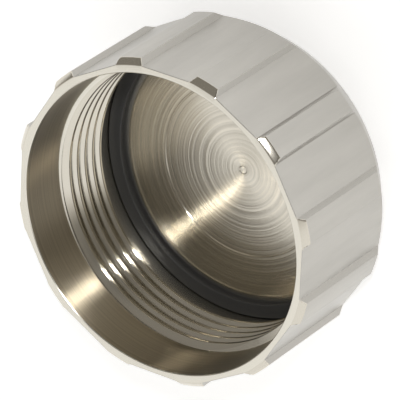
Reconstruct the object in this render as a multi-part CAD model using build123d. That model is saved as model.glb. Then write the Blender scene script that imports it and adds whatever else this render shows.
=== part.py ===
from build123d import *
import math
import os

# Threaded protection cap: a turned cup with an internal thread, twelve milled
# grip ribs outside and a flat rubber ring at the bottom of the thread.
# Millimetres, +Z out of the mouth, origin at the centre of the closed end.

# ---- whole body ----
LENGTH = 12.8            # closed end to rim face
BLANK_R = 13.0           # turned bar, and the top of every rib

# ---- outside, turned ----
FRONT_CHAMFER_R = 12.55  # where the front chamfer meets the rim face
FRONT_CHAMFER_H = 0.45
BACK_FACE_R = 11.2       # closed end inside the back chamfer
BACK_CHAMFER_H = 2.7

# ---- outside, milled ----
RIB_COUNT = 12
RIB_TOP_HALF = 4.1       # half angle of a rib at BLANK_R, degrees
RIB_FOOT_HALF = 5.4      # half angle of a rib at its foot, degrees
RIB_FOOT_R = 12.545      # radius of the foot, where the flats start
OVERRUN = 1.0            # how far the milling cuts run past the bar

# ---- inside, heights measured down from the rim face ----
MOUTH_R = 11.9           # rim's inner edge
COUNTERBORE_R = 11.62    # counterbore at its deep end
COUNTERBORE_DEPTH = 3.86
LEAD_IN_H = 0.25         # chamfer from the counterbore to the first crest
THREAD_END = 8.86        # the undercut behind the thread starts here
UNDERCUT_R = 11.8
SEAT_DEPTH = 11.45       # seat that carries the rubber ring
FLOOR_DEPTH = 11.25
BEAD_OUTER_R = 10.25     # low bead at the edge of the floor disc
BEAD_INNER_R = 10.1
BEAD_DEPTH = 11.15

# ---- thread, M23 x 1, right-handed ----
PITCH = 1.0
THREAD_MINOR_R = 11.075  # crests
THREAD_MAJOR_R = 11.6    # roots
CREST_FLAT = 0.27        # width of a crest along the axis
FLANK_ANGLE = 30         # lean of each side of the groove, degrees
GROOVE_START = 9.467     # depth of the groove's middle on +X, inside the undercut
GROOVE_TURNS = 6         # carries the groove past the lead-in chamfer
GROOVE_CLEARANCE = 0.2   # how far its cutter reaches inside the crests

# ---- rubber ring ----
RING_INNER_R = 10.63
RING_OUTER_R = 11.75
RING_TOP_DEPTH = 10.58


def revolved(points):
    """Full turn about Z of a closed outline given as (radius, height)."""
    with BuildPart() as body:
        with BuildSketch(Plane.XZ):
            with BuildLine():
                Polyline(*points, close=True)
            make_face()
        revolve(axis=Axis.Z)
    return body.part


def turned_body():
    """The cup as it leaves the lathe, before the flats are milled."""
    lead_in_end = LENGTH - COUNTERBORE_DEPTH - LEAD_IN_H
    return revolved([
        (0, 0),
        (BACK_FACE_R, 0),
        (BLANK_R, BACK_CHAMFER_H),
        (BLANK_R, LENGTH - FRONT_CHAMFER_H),
        (FRONT_CHAMFER_R, LENGTH),
        (MOUTH_R, LENGTH),
        (COUNTERBORE_R, LENGTH - COUNTERBORE_DEPTH),
        (THREAD_MINOR_R, lead_in_end),
        (THREAD_MINOR_R, LENGTH - THREAD_END),
        (UNDERCUT_R, LENGTH - THREAD_END),
        (UNDERCUT_R, LENGTH - SEAT_DEPTH),
        (BEAD_OUTER_R, LENGTH - SEAT_DEPTH),
        (BEAD_OUTER_R, LENGTH - BEAD_DEPTH),
        (BEAD_INNER_R, LENGTH - FLOOR_DEPTH),
        (0, LENGTH - FLOOR_DEPTH),
    ])


def thread_groove():
    """Cutter for the helical groove, open into the undercut and the counterbore."""
    def half_width(radius):
        lean = math.tan(math.radians(FLANK_ANGLE))
        return (PITCH - CREST_FLAT) / 2 - lean * (radius - THREAD_MINOR_R)

    inner, outer = THREAD_MINOR_R - GROOVE_CLEARANCE, THREAD_MAJOR_R
    start = LENGTH - GROOVE_START
    corners = [(inner, -half_width(inner)), (outer, -half_width(outer)),
               (outer, half_width(outer)), (inner, half_width(inner))]
    with BuildPart() as groove:
        with BuildLine() as run:
            Helix(pitch=PITCH, height=GROOVE_TURNS * PITCH, radius=THREAD_MINOR_R,
                  center=(0, 0, start))
        with BuildSketch(Plane.XZ):
            with BuildLine():
                Polyline(*[(r, start + z) for r, z in corners], close=True)
            make_face()
        sweep(path=run.line, is_frenet=True)
    return groove.part


def at_angle(radius, degrees):
    angle = math.radians(degrees)
    return Vector(radius * math.cos(angle), radius * math.sin(angle))


def flats_cutter():
    """The gap between two neighbouring ribs, centred half a pitch from +X."""
    half_pitch = 180 / RIB_COUNT
    corners = []
    for side in (1, -1):
        rib = half_pitch - side * half_pitch     # the rib on this side of the gap
        foot = at_angle(RIB_FOOT_R, rib + side * RIB_FOOT_HALF)
        top = at_angle(BLANK_R, rib + side * RIB_TOP_HALF)
        past = top + (top - foot).normalized() * OVERRUN
        corners += [past, foot] if side > 0 else [foot, past]
    with BuildPart() as cutter:
        with BuildSketch():
            with BuildLine():
                Polyline(*[(c.X, c.Y) for c in corners], close=True)
            make_face()
        extrude(amount=LENGTH)
    return cutter.part


def cap_body():
    with BuildPart() as body:
        add(turned_body())
        with PolarLocations(0, RIB_COUNT):
            add(flats_cutter(), mode=Mode.SUBTRACT)
        add(thread_groove(), mode=Mode.SUBTRACT)
    return body.part.solid()


def sealing_ring():
    top = LENGTH - RING_TOP_DEPTH
    seat = LENGTH - SEAT_DEPTH
    return revolved([
        (RING_INNER_R, seat),
        (RING_OUTER_R, seat),
        (RING_OUTER_R, top),
        (RING_INNER_R, top),
    ])


os.makedirs("parts", exist_ok=True)
export_step(cap_body(), "parts/cap_body.step")
export_step(sealing_ring(), "parts/sealing_ring.step")
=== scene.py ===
import math

import bmesh
import bpy
from mathutils import Matrix, Vector


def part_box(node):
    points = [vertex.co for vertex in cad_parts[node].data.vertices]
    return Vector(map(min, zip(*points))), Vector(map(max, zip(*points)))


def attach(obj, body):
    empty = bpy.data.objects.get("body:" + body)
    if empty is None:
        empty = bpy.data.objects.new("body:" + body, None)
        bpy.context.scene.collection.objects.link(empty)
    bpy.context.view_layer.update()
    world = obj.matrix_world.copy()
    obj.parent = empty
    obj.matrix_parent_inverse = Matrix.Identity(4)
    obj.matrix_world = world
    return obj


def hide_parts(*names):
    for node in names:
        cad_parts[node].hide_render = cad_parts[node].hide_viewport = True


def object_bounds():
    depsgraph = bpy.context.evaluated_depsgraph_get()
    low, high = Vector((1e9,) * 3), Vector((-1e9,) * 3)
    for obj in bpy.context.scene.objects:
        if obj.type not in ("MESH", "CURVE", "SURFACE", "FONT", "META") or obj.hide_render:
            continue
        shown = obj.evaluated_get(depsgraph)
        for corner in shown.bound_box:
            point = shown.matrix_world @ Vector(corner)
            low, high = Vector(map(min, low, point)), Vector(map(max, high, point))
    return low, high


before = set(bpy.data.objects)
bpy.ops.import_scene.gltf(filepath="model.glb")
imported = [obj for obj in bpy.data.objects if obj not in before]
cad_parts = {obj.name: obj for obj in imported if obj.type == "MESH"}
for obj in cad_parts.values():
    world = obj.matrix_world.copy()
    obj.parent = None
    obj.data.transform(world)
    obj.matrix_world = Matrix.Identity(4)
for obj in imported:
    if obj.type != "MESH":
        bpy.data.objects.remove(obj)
CAD_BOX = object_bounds()

# Threaded protection cap. Lengths are in millimetres until a mesh is made, and angles
# in degrees until they are used. Places along the axis are heights above the rim face,
# so they are negative. Down to the rubber ring, these values are the solids' own.
MM = 0.001
CAD_LOW, CAD_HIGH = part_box("cap_body")
LENGTH = (CAD_HIGH.z - CAD_LOW.z) / MM

# Outside.
BLANK_R = 13.0            # turned bar, and the top of every rib
FRONT_CHAMFER_R = 12.55   # where the front chamfer meets the rim face
FRONT_CHAMFER_W = BLANK_R - FRONT_CHAMFER_R     # as high as it is wide
BACK_FACE_R = 11.2        # closed end inside the back chamfer
BACK_CHAMFER_H = 2.7
RIB_COUNT = 12
RIB_PITCH = 360 / RIB_COUNT
RIB_TOP_HALF = 4.1        # half angle of a rib at BLANK_R
RIB_FOOT_HALF = 5.4       # half angle of a rib at its foot, where the flats start
RIB_FOOT_R = 12.545

# Inside.
MOUTH_R = 11.9            # rim's inner edge
COUNTERBORE_R = 11.62     # counterbore at its deep end
COUNTERBORE_Z = -3.86
LEAD_IN_H = 0.25          # chamfer from the counterbore to the first crest
UNDERCUT_R = 11.8         # behind the thread
SEAT_Z = -11.45           # seat that carries the rubber ring
FLOOR_Z = -11.25
BEAD_Z = -11.15           # low bead at the edge of the floor disc
BEAD_INNER_R = 10.1
BEAD_OUTER_R = 10.25

# Thread, M23 x 1, right-handed.
PITCH = 1.0
CREST_R = 11.075
ROOT_R = 11.6
CREST_FLAT = 0.27
FLANK_ANGLE = 30          # lean of each side of the groove
FLANK_W = (ROOT_R - CREST_R) * math.tan(math.radians(FLANK_ANGLE))
THREAD_PHASE = 0.168      # height of a crest's front edge at +X, less whole pitches
THREAD_TURNS = range(-2, -12, -1)   # crests in pitches, before both ends are cut off
THREAD_END = -8.86

# Rubber ring.
RING_INNER_R = 10.63
RING_OUTER_R = 11.75
RING_TOP = -10.58

# Wear and small forms that the solids leave out.
EDGE_BREAK = 0.05         # on the outside's corners
MOUTH_BREAK = 0.06        # on the mouth's edge
CHAMFER_CROWN = 0.012     # how far the front chamfer bulges
CREST_ROUND = 0.1         # radius of a crest's edges
BEAD_LEAN = 0.04          # how far the bead's inner side leans
RING_CORNER = 0.09        # radius of the rubber ring's upper edges
PIT_R = 0.28              # small pit that the lathe leaves at the floor's centre
PIT_TOP_R = 0.36
PIT_DEPTH = 0.05
FLOOR_CUT_R = 6.93        # ring cut in the floor
FLOOR_CUT_HALF = 0.09     # half its width, at the top and at its foot
FLOOR_CUT_FOOT = 0.03
FLOOR_CUT_DEPTH = 0.06

# How finely the meshes are divided.
RIB_TOP_STEPS = 8
RIB_SIDE_STEPS = 2
FLAT_STEPS = 19
CHAMFER_STEPS = 4
CREST_STEPS = 4
CORNER_STEPS = 3
RING_STEPS = 480
FLOOR_SPLIT_R = 3.0       # an extra row of points on the floor
WELD = 0.0002             # points closer than this become one
WALL_R = MOUTH_R + 0.1    # between the mouth and the outside, to tell them apart
HAIR = 0.001              # small margins, for comparing places
SLACK = 0.01


# ---------------------------------------------------------------- geometry

def column_angles():
    """Angles round the cap: even steps between the corners of the ribs."""
    half_pitch = RIB_PITCH / 2
    stops = ((0, RIB_TOP_HALF, RIB_TOP_STEPS),
             (RIB_TOP_HALF, RIB_FOOT_HALF, RIB_SIDE_STEPS),
             (RIB_FOOT_HALF, half_pitch, FLAT_STEPS))
    half = [a + (b - a) * i / n for a, b, n in stops for i in range(n)]
    sector = half + [half_pitch] + [RIB_PITCH - a for a in half[:0:-1]]
    angles = [RIB_PITCH * k + a for k in range(RIB_COUNT) for a in sector]
    return angles + [360.0]


def from_rib(angle):
    """How far an angle is from the middle of the nearest rib."""
    return abs((angle + RIB_PITCH / 2) % RIB_PITCH - RIB_PITCH / 2)


def at_angle(radius, angle):
    return Vector((radius, 0)) @ Matrix.Rotation(-math.radians(angle), 2)


def outer_radius(angle):
    """Radius of the ribbed outside at an angle."""
    off = from_rib(angle)
    if off <= RIB_TOP_HALF:
        return BLANK_R
    if off >= RIB_FOOT_HALF:
        chord = RIB_FOOT_R * math.cos(math.radians(RIB_PITCH / 2 - RIB_FOOT_HALF))
        return chord / math.cos(math.radians(RIB_PITCH / 2 - off))
    top = at_angle(BLANK_R, RIB_TOP_HALF)
    along = at_angle(RIB_FOOT_R, RIB_FOOT_HALF) - top
    ray = at_angle(1, off)
    return (top.x * along.y - top.y * along.x) / (ray.x * along.y - ray.y * along.x)


def front_chamfer(share):
    """Point of the slightly crowned front chamfer, from the rim (0) to a rib's top (1)."""
    crown = CHAMFER_CROWN * 4 * share * (1 - share) * math.sqrt(0.5)
    run = FRONT_CHAMFER_W * share
    return FRONT_CHAMFER_R + run + crown, -run + crown


def outside(angle):
    """Profile of the outside from the rim's outer edge to the closed end's middle."""
    r = outer_radius(angle)
    cut = max(0.0, (r - FRONT_CHAMFER_R) / FRONT_CHAMFER_W)
    front = [front_chamfer(cut * i / CHAMFER_STEPS) for i in range(1, CHAMFER_STEPS)]
    if cut == 0:
        front = [(r, 0.0)] * len(front)
    front.append((r, -cut * FRONT_CHAMFER_W))
    back = -LENGTH + BACK_CHAMFER_H * (r - BACK_FACE_R) / (BLANK_R - BACK_FACE_R)
    return [(min(r, FRONT_CHAMFER_R), 0.0)] + front + [
        (r, back), (BACK_FACE_R, -LENGTH), (BACK_FACE_R / 2, -LENGTH)]


def lead_in_z(r):
    """Height of the lead-in chamfer at a radius."""
    slope = LEAD_IN_H / (COUNTERBORE_R - CREST_R)
    return COUNTERBORE_Z - slope * (COUNTERBORE_R - r)


def crossing(above, below, inside_by):
    """Point between two profile points where inside_by changes sign."""
    a, b = inside_by(above), inside_by(below)
    t = a / (a - b)
    return tuple(p + (q - p) * t for p, q in zip(above, below))


def rounded_corner(side):
    """Points (height, radius) of a crest's front (1) or back (-1) edge, worn round."""
    whole_turn = 90 - FLANK_ANGLE
    setback = CREST_ROUND * math.tan(math.radians(whole_turn / 2))
    centre = -CREST_FLAT / 2 + side * (CREST_FLAT / 2 - setback)
    points = []
    for step in range(CREST_STEPS + 1):
        turn = math.radians(whole_turn * step / CREST_STEPS)
        points.append((centre + side * CREST_ROUND * math.sin(turn),
                       CREST_R + CREST_ROUND * (1 - math.cos(turn))))
    return points[::-side]


def thread(angle):
    """Profile of the thread at an angle, cut off by the lead-in and the undercut."""
    front = THREAD_PHASE + PITCH * angle / 360
    crest = rounded_corner(1) + rounded_corner(-1)
    groove = [(-CREST_FLAT - FLANK_W, ROOT_R), (-PITCH + FLANK_W, ROOT_R)]
    path = [(r, front + k * PITCH + dz) for k in THREAD_TURNS for dz, r in crest + groove]

    def over_lead_in(p):
        return p[1] - lead_in_z(p[0])

    def over_undercut(p):
        return p[1] - THREAD_END

    first = next(i for i, p in enumerate(path) if over_lead_in(p) < 0)
    last = next(i for i, p in enumerate(path) if over_undercut(p) < 0)
    start = crossing(path[first - 1], path[first], over_lead_in)
    end = crossing(path[last - 1], path[last], over_undercut)
    return [start] * first + path[first:last] + [end] * (len(path) - last)


def inside(angle):
    """Profile of the inside from the floor's middle to the rim's inner edge."""
    cut_z = FLOOR_Z - FLOOR_CUT_DEPTH
    floor = [(PIT_R, FLOOR_Z - PIT_DEPTH), (PIT_TOP_R, FLOOR_Z), (FLOOR_SPLIT_R, FLOOR_Z),
             (FLOOR_CUT_R - FLOOR_CUT_HALF, FLOOR_Z), (FLOOR_CUT_R - FLOOR_CUT_FOOT, cut_z),
             (FLOOR_CUT_R + FLOOR_CUT_FOOT, cut_z), (FLOOR_CUT_R + FLOOR_CUT_HALF, FLOOR_Z),
             (BEAD_INNER_R, FLOOR_Z), (BEAD_INNER_R + BEAD_LEAN, BEAD_Z),
             (BEAD_OUTER_R, BEAD_Z), (BEAD_OUTER_R, SEAT_Z),
             (UNDERCUT_R, SEAT_Z), (UNDERCUT_R, THREAD_END)]
    mouth = [(COUNTERBORE_R, COUNTERBORE_Z), (MOUTH_R, -MOUTH_BREAK),
             (MOUTH_R + MOUTH_BREAK, 0.0)]
    return floor + thread(angle)[::-1] + mouth


def turned_mesh(profile_at, angles, closed_profile):
    """A mesh whose cross-section at each angle is profile_at(angle)."""
    mesh = bmesh.new()
    rows = []
    for angle in angles:
        c, s = math.cos(math.radians(angle)), math.sin(math.radians(angle))
        rows.append([mesh.verts.new((r * c * MM, r * s * MM, (LENGTH + z) * MM))
                     for r, z in profile_at(angle)])
    count = len(rows[0])
    steps = range(count if closed_profile else count - 1)
    for left, right in zip(rows, rows[1:]):
        for i in steps:
            j = (i + 1) % count
            mesh.faces.new((left[i], left[j], right[j], right[i]))
    bmesh.ops.remove_doubles(mesh, verts=mesh.verts, dist=WELD * MM)
    if not closed_profile:
        open_edges = [e for e in mesh.edges if e.is_boundary]
        bmesh.ops.holes_fill(mesh, edges=open_edges, sides=0)
    bmesh.ops.recalc_face_normals(mesh, faces=mesh.faces)
    return mesh


def finish_mesh(mesh, name, sharp_angle=18):
    """Make a piece of a mesh, shaded smooth where its faces meet below an angle."""
    for face in mesh.faces:
        face.smooth = True
    data = bpy.data.meshes.new(name)
    mesh.to_mesh(data)
    mesh.free()
    data.set_sharp_from_angle(angle=math.radians(sharp_angle))
    piece = bpy.data.objects.new(name, data)
    bpy.context.scene.collection.objects.link(piece)
    return piece


def outer_edges(mesh, least_angle=12):
    """The outside's convex corners, which get a small edge break."""
    found = []
    for edge in mesh.edges:
        if len(edge.link_faces) != 2 or not edge.is_convex:
            continue
        middle = (edge.verts[0].co + edge.verts[1].co) / 2
        radius = math.hypot(middle.x, middle.y) / MM
        on_back = middle.z < SLACK * MM and radius > BACK_FACE_R * 0.99
        if (radius > WALL_R or on_back) and edge.calc_face_angle() > math.radians(least_angle):
            found.append(edge)
    return found


def make_cap():
    mesh = turned_mesh(lambda a: inside(a) + outside(a), column_angles(), False)
    bmesh.ops.bevel(mesh, geom=outer_edges(mesh), offset=EDGE_BREAK * MM, segments=2,
                    profile=0.5, affect="EDGES", clamp_overlap=False)
    # The bevel puts a few points just outside the turned bar. They go back onto it.
    for vert in mesh.verts:
        past = math.hypot(vert.co.x, vert.co.y) / (BLANK_R * MM)
        if past > 1:
            vert.co.xy = vert.co.xy / past
    return finish_mesh(mesh, "cap")


def ring_profile(_angle):
    """Section of the flat ring, the same all round, with its upper corners rounded."""
    points = []
    for centre, start in ((RING_OUTER_R - RING_CORNER, 0), (RING_INNER_R + RING_CORNER, 90)):
        for step in range(CORNER_STEPS + 1):
            turn = math.radians(start + 90 * step / CORNER_STEPS)
            points.append((centre + RING_CORNER * math.cos(turn),
                           RING_TOP - RING_CORNER + RING_CORNER * math.sin(turn)))
    points.insert(CORNER_STEPS + 1, ((RING_INNER_R + RING_OUTER_R) / 2, RING_TOP))
    return points + [(RING_INNER_R, SEAT_Z), (RING_OUTER_R, SEAT_Z)]


def make_ring():
    angles = [360 * i / RING_STEPS for i in range(RING_STEPS + 1)]
    return finish_mesh(turned_mesh(ring_profile, angles, True), "rubber_ring", 40)


# --------------------------------------------------------------- materials

PLATING = (0.70, 0.67, 0.595, 1)
MILLED = (0.485, 0.47, 0.438, 1)
# Darker colour of the ribs' sides: painted shade along the ribs' sides and feet.
RIB_SIDE_SHADE = (0.42, 0.405, 0.375, 1)
CUT_METAL = (0.64, 0.605, 0.53, 1)
# Counterbore's colour, darker and browner than the cut metal: painted shade for the dim, warm
# light that reaches this wall only after bounces inside the cap.
COUNTERBORE_SHADE = (0.56, 0.51, 0.42, 1)
RUBBER = (0.05, 0.05, 0.05, 1)

MILLED_ROUGHNESS = (0.28, 0.44)   # least and most; the grain varies it between them
GRAIN_ALONG = 0.12                # grain's frequency along the cap, where 1 is round it
RIB_SIDE_MARGIN = 0.1             # degrees from a rib's corners that aren't its side


def new_material(name):
    material = bpy.data.materials.new(name)
    material.use_nodes = True
    tree = material.node_tree
    shader = tree.nodes["Principled BSDF"]
    return material, tree, shader


def object_place(tree):
    """Socket with the place on the piece, in metres."""
    return tree.nodes.new("ShaderNodeTexCoord").outputs["Object"]


def combined(tree, operation, *operands, clamp=False):
    """Socket with the result of a Math node. An operand is a socket or a number."""
    node = tree.nodes.new("ShaderNodeMath")
    node.operation = operation
    node.use_clamp = clamp
    for slot, operand in zip(node.inputs, operands):
        if isinstance(operand, bpy.types.NodeSocket):
            tree.links.new(operand, slot)
        else:
            slot.default_value = operand
    return node.outputs["Value"]


def noise(tree, place, scale, detail):
    """Socket with a noise pattern over a place socket."""
    node = tree.nodes.new("ShaderNodeTexNoise")
    node.inputs["Scale"].default_value = scale
    node.inputs["Detail"].default_value = detail
    tree.links.new(place, node.inputs["Vector"])
    return node.outputs["Fac"]


def add_bump(tree, shader, source, depth):
    """Bump of this depth in mm, where the source socket goes from 0 to 1."""
    bump = tree.nodes.new("ShaderNodeBump")
    bump.inputs["Strength"].default_value = 1.0
    bump.inputs["Distance"].default_value = depth * MM
    tree.links.new(source, bump.inputs["Height"])
    tree.links.new(bump.outputs["Normal"], shader.inputs["Normal"])


def section_length(tree):
    """Socket that grows along the cap's section, in mm: radius plus height."""
    place = object_place(tree)
    flat = tree.nodes.new("ShaderNodeVectorMath")
    flat.operation = "MULTIPLY"
    flat.inputs[1].default_value = (1 / MM, 1 / MM, 0)
    tree.links.new(place, flat.inputs[0])
    radius = tree.nodes.new("ShaderNodeVectorMath")
    radius.operation = "LENGTH"
    tree.links.new(flat.outputs["Vector"], radius.inputs[0])
    parts = tree.nodes.new("ShaderNodeSeparateXYZ")
    tree.links.new(place, parts.inputs["Vector"])
    return combined(tree, "MULTIPLY_ADD", parts.outputs["Z"], 1 / MM, radius.outputs["Value"])


def shaded(tree, shader, source, colour, contrast):
    """Base colour that swings darker and lighter with a noise socket."""
    swing = tree.nodes.new("ShaderNodeMapRange")
    swing.inputs["From Min"].default_value = 0.3
    swing.inputs["From Max"].default_value = 0.7
    swing.inputs["To Min"].default_value = 1 - contrast
    swing.inputs["To Max"].default_value = 1 + contrast
    tree.links.new(source, swing.inputs["Value"])
    scale = tree.nodes.new("ShaderNodeVectorMath")
    scale.operation = "SCALE"
    scale.inputs[0].default_value = colour[:3]
    tree.links.new(swing.outputs["Result"], scale.inputs["Scale"])
    tree.links.new(scale.outputs["Vector"], shader.inputs["Base Color"])


def turning_marks(tree, shader, per_mm, depth, detail=2.0):
    """Fine uneven rings that a lathe leaves, as a bump of this depth in mm."""
    rings = tree.nodes.new("ShaderNodeTexNoise")
    rings.noise_dimensions = "1D"
    rings.inputs["Scale"].default_value = per_mm
    rings.inputs["Detail"].default_value = detail
    rings.inputs["Roughness"].default_value = 0.6
    tree.links.new(section_length(tree), rings.inputs["W"])
    add_bump(tree, shader, rings.outputs["Fac"], depth)
    return rings.outputs["Fac"]


def metal(name, colour, roughness, anisotropy):
    """Nickel-plated brass, with the turning marks running round the cap's axis."""
    material, tree, shader = new_material(name)
    shader.inputs["Base Color"].default_value = colour
    shader.inputs["Metallic"].default_value = 1.0
    shader.inputs["Roughness"].default_value = roughness
    shader.inputs["Anisotropic"].default_value = anisotropy
    # A quarter turn sets the highlight across the marks and not along them.
    shader.inputs["Anisotropic Rotation"].default_value = 0.25
    tangent = tree.nodes.new("ShaderNodeTangent")
    tangent.direction_type = "RADIAL"
    tangent.axis = "Z"
    tree.links.new(tangent.outputs["Tangent"], shader.inputs["Tangent"])
    return material, tree, shader


def turned_floor():
    material, tree, shader = metal("turned_floor", CUT_METAL, roughness=0.20, anisotropy=0.9)
    rings = turning_marks(tree, shader, per_mm=2.8, depth=0.018, detail=4)
    shaded(tree, shader, rings, CUT_METAL, contrast=0.13)
    return material


def counterbore():
    # Its darker, browner colour is painted shade, not a tint of the metal.
    material, tree, shader = metal("counterbore", COUNTERBORE_SHADE, roughness=0.30, anisotropy=0.9)
    rings = turning_marks(tree, shader, per_mm=5, depth=0.004)
    shaded(tree, shader, rings, COUNTERBORE_SHADE, contrast=0.12)
    return material


def thread_flanks():
    material, tree, shader = metal("thread", CUT_METAL, roughness=0.12, anisotropy=0.8)
    turning_marks(tree, shader, per_mm=9, depth=0.004)
    return material


def turned_rim():
    """The rim face, the lead-in chamfer and the walls behind the thread."""
    material, tree, shader = metal("turned_rim", PLATING, roughness=0.26, anisotropy=0.6)
    turning_marks(tree, shader, per_mm=7, depth=0.006)
    return material


def rib_chamfer():
    material, tree, shader = metal("rib_chamfer", CUT_METAL, roughness=0.17, anisotropy=0.4)
    turning_marks(tree, shader, per_mm=7, depth=0.002)
    return material


def milled_outside():
    """Flats and ribs, with short faint scratches that run along the cap."""
    least, most = MILLED_ROUGHNESS
    material, tree, shader = metal("milled_outside", MILLED, roughness=most, anisotropy=0.0)
    stretch = tree.nodes.new("ShaderNodeMapping")
    stretch.inputs["Scale"].default_value = (1 / MM, 1 / MM, GRAIN_ALONG / MM)
    tree.links.new(object_place(tree), stretch.inputs["Vector"])
    grain = noise(tree, stretch.outputs["Vector"], scale=5.0, detail=4.0)
    rough = tree.nodes.new("ShaderNodeMapRange")
    rough.inputs["To Min"].default_value = least
    rough.inputs["To Max"].default_value = most
    tree.links.new(grain, rough.inputs["Value"])
    tree.links.new(rough.outputs["Result"], shader.inputs["Roughness"])
    add_bump(tree, shader, grain, depth=0.016)
    clouds = noise(tree, stretch.outputs["Vector"], scale=0.6, detail=5.0)
    shaded(tree, shader, clouds, MILLED, contrast=0.06)
    return material


def rib_flank():
    """The narrow sides of the ribs, cut by the side of the milling cutter. Their darker colour
    is painted shade along the ribs' sides and feet.
    """
    return metal("rib_flank", RIB_SIDE_SHADE, roughness=0.24, anisotropy=0.0)[0]


def on_rib_side(angle):
    """Whether an angle is on a rib's side and not on its top or on a flat."""
    margin = RIB_SIDE_MARGIN
    return RIB_TOP_HALF + margin < from_rib(angle) < RIB_FOOT_HALF - margin


def finish_of(radius, angle, height):
    """Which finish a face of the cap has, from where its middle is."""
    if radius > FRONT_CHAMFER_R - 3 * SLACK and -FRONT_CHAMFER_W < height < -HAIR:
        if radius - FRONT_CHAMFER_R < -height + 2 * CHAMFER_CROWN:
            return "chamfer"
    if radius > WALL_R and height < -HAIR or height < SEAT_Z - SLACK:
        return "flank" if on_rib_side(angle) and radius > RIB_FOOT_R else "outside"
    if radius < BEAD_OUTER_R - SLACK and height < BEAD_Z + SLACK:
        return "floor"
    if radius > COUNTERBORE_R and COUNTERBORE_Z < height < -MOUTH_BREAK - SLACK:
        return "counterbore"
    if THREAD_END < height < lead_in_z(radius) - HAIR:
        return "thread"
    return "rim"


def dress_cap(cap):
    """Each turned face gets its own finish, and so does the milled outside."""
    finishes = {"rim": turned_rim(), "floor": turned_floor(), "thread": thread_flanks(),
                "counterbore": counterbore(), "chamfer": rib_chamfer(),
                "outside": milled_outside(), "flank": rib_flank()}
    for material in finishes.values():
        cap.data.materials.append(material)
    index = {name: i for i, name in enumerate(finishes)}
    for face in cap.data.polygons:
        middle = face.center
        radius = math.hypot(middle.x, middle.y) / MM
        angle = math.degrees(math.atan2(middle.y, middle.x))
        face.material_index = index[finish_of(radius, angle, middle.z / MM - LENGTH)]


def black_rubber():
    """Moulded rubber with a faint pored surface."""
    material, tree, shader = new_material("black_rubber")
    shader.inputs["Base Color"].default_value = RUBBER
    shader.inputs["Roughness"].default_value = 0.45
    pores = noise(tree, object_place(tree), scale=4 / MM, detail=3.0)
    add_bump(tree, shader, pores, depth=0.006)
    return material


# ------------------------------------------------------------ light, camera

VIEW_TILT = 41.5          # angle between the view and the cap's axis, degrees
VIEW_ROLL = 213.376       # direction of the cap's axis in the picture, degrees
RIB_TURN = 0.8            # turn of the ribs about the axis from the camera's side
VIEW_DISTANCE = 392.7     # from the camera to the plane through the rim's centre
VIEW_WIDTH = 29.258       # what the picture spans at that distance
RIM_OFFSET = (-3.010, -1.865)   # how far the rim's centre is right of and above the middle
SENSOR = 36.0


def camera_axes():
    """Matrix whose columns are the camera's right, up and back in the cap's frame."""
    tilt, roll, turn = (math.radians(v) for v in (VIEW_TILT, VIEW_ROLL, RIB_TURN))
    u = Vector((math.cos(roll), math.sin(roll), 0))
    w = Vector((0, 0, 1))
    axis = u * math.sin(tilt) + w * math.cos(tilt)
    near = -u * math.cos(tilt) + w * math.sin(tilt)
    side = axis.cross(near)
    return Matrix.Rotation(-turn, 3, "Z") @ Matrix((near, side, axis))


def make_camera():
    to_cap = camera_axes()
    rim = Vector((0, 0, LENGTH))
    eye = rim + to_cap @ Vector((-RIM_OFFSET[0], -RIM_OFFSET[1], VIEW_DISTANCE))
    data = bpy.data.cameras.new("camera")
    data.sensor_width = SENSOR
    data.lens = SENSOR * VIEW_DISTANCE / VIEW_WIDTH
    data.clip_start = 0.01
    data.clip_end = 10
    camera = bpy.data.objects.new("camera", data)
    pose = to_cap.to_4x4()
    pose.translation = eye * MM
    camera.matrix_world = pose
    bpy.context.scene.collection.objects.link(camera)
    bpy.context.scene.camera = camera


# Directions are (azimuth round the cap, angle from its axis), in degrees.
PALE_SIDE = (-129.5, 106)     # the studio's bright half is round this direction
PALE_FROM = -0.25             # cosines to it between which the studio turns pale
PALE_TO = 0.05
STUDIO_DIM = 0.28             # light of the dim and of the pale half
STUDIO_PALE = 1.08
STUDIO_TINT = (1.0, 0.995, 0.98, 1)
DIM_TINT = (1.0, 0.95, 0.86, 1)
DARK_SIDE = (5, 45)           # the dark spot behind the camera
DARK_INNER = 8                # where it is darkest, and where it ends
DARK_OUTER = 35
DARK_LEVEL = 0.55             # share of the studio's light that it leaves

STUDIO_FLOOR_COLOUR = (0.93, 0.93, 0.93, 1)
STUDIO_FLOOR_GLOW = 0.42      # for camera, glossy and transmission rays only
STUDIO_FLOOR_HALF = 1.5       # metres
STUDIO_FLOOR_GAP = 0.02       # below the cap, so that the two faces don't coincide


def from_azimuth(azimuth, polar):
    """Unit vector at an azimuth round the cap and an angle from its axis, degrees."""
    a, p = math.radians(azimuth), math.radians(polar)
    return Vector((math.cos(a) * math.sin(p), math.sin(a) * math.sin(p), math.cos(p)))


def add_lamp(name, azimuth, polar, distance, size, power):
    """A small softbox, aimed at the cap."""
    direction = from_azimuth(azimuth, polar)
    data = bpy.data.lights.new(name, "AREA")
    data.shape = "DISK"
    data.size = size
    data.energy = power
    lamp = bpy.data.objects.new(name, data)
    lamp.location = direction * distance + Vector((0, 0, LENGTH * MM / 2))
    lamp.rotation_euler = direction.to_track_quat("Z", "Y").to_euler()
    bpy.context.scene.collection.objects.link(lamp)
    return lamp


def direction_dot(tree, towards):
    """Node socket with the cosine between the seen direction and a fixed one."""
    coordinates = tree.nodes.new("ShaderNodeTexCoord")
    dot = tree.nodes.new("ShaderNodeVectorMath")
    dot.operation = "DOT_PRODUCT"
    dot.inputs[1].default_value = towards
    tree.links.new(coordinates.outputs["Generated"], dot.inputs[0])
    return dot.outputs["Value"]


def smooth_range(tree, source, limits, results):
    """Smooth step of a socket's value from limits to results."""
    node = tree.nodes.new("ShaderNodeMapRange")
    node.interpolation_type = "SMOOTHSTEP"
    node.inputs["From Min"].default_value, node.inputs["From Max"].default_value = limits
    node.inputs["To Min"].default_value, node.inputs["To Max"].default_value = results
    tree.links.new(source, node.inputs["Value"])
    return node.outputs["Result"]


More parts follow.
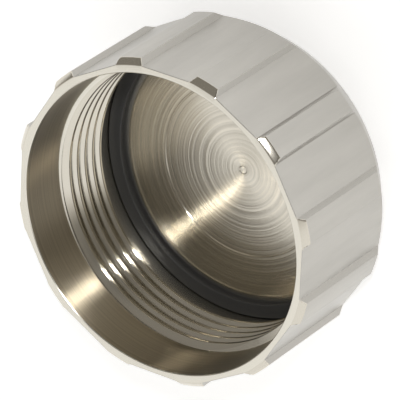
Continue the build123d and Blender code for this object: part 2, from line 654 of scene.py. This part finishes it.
def make_world():
    """A studio, pale on one side and dim on the other, as the metal shows it."""
    world = bpy.data.worlds.new("studio")
    bpy.context.scene.world = world
    world.use_nodes = True
    tree = world.node_tree
    background = tree.nodes["Background"]
    to_pale = direction_dot(tree, from_azimuth(*PALE_SIDE))
    pale = smooth_range(tree, to_pale, (PALE_FROM, PALE_TO), (0, 1))
    tint = tree.nodes.new("ShaderNodeMix")
    tint.data_type = "RGBA"
    tint.inputs["A"].default_value = DIM_TINT
    tint.inputs["B"].default_value = STUDIO_TINT
    tree.links.new(pale, tint.inputs["Factor"])
    side = smooth_range(tree, to_pale, (PALE_FROM, PALE_TO), (STUDIO_DIM, STUDIO_PALE))
    to_dark = direction_dot(tree, from_azimuth(*DARK_SIDE))
    edges = [math.cos(math.radians(a)) for a in (DARK_OUTER, DARK_INNER)]
    dark = smooth_range(tree, to_dark, edges, (1, DARK_LEVEL))
    level = combined(tree, "MULTIPLY", side, dark)
    tree.links.new(tint.outputs["Result"], background.inputs["Color"])
    tree.links.new(level, background.inputs["Strength"])


def make_floor():
    """A pale studio floor that keeps the cap's shadow."""
    mesh = bmesh.new()
    bmesh.ops.create_grid(mesh, x_segments=1, y_segments=1, size=STUDIO_FLOOR_HALF)
    floor = finish_mesh(mesh, "floor")
    floor.location.z = CAD_BOX[0][2] - STUDIO_FLOOR_GAP * MM
    material, tree, shader = new_material("floor")
    shader.inputs["Base Color"].default_value = STUDIO_FLOOR_COLOUR
    shader.inputs["Roughness"].default_value = 0.9
    shader.inputs["Specular IOR Level"].default_value = 0.0
    shader.inputs["Emission Color"].default_value = (1, 1, 1, 1)
    rays = tree.nodes.new("ShaderNodeLightPath")
    seen = 0
    for kind in ("Is Camera Ray", "Is Glossy Ray", "Is Transmission Ray"):
        seen = combined(tree, "ADD", rays.outputs[kind], seen, clamp=True)
    glow = combined(tree, "MULTIPLY", seen, STUDIO_FLOOR_GLOW)
    tree.links.new(glow, shader.inputs["Emission Strength"])
    floor.data.materials.append(material)


cap = make_cap()
dress_cap(cap)
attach(cap, "root")
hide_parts("cap_body")

ring = make_ring()
ring.data.materials.append(black_rubber())
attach(ring, "root")
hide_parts("sealing_ring")

make_floor()
make_world()
add_lamp("key", azimuth=8.9, polar=45, distance=0.5, size=0.058, power=0.7)
make_camera()
bpy.context.scene.view_settings.view_transform = "Standard"
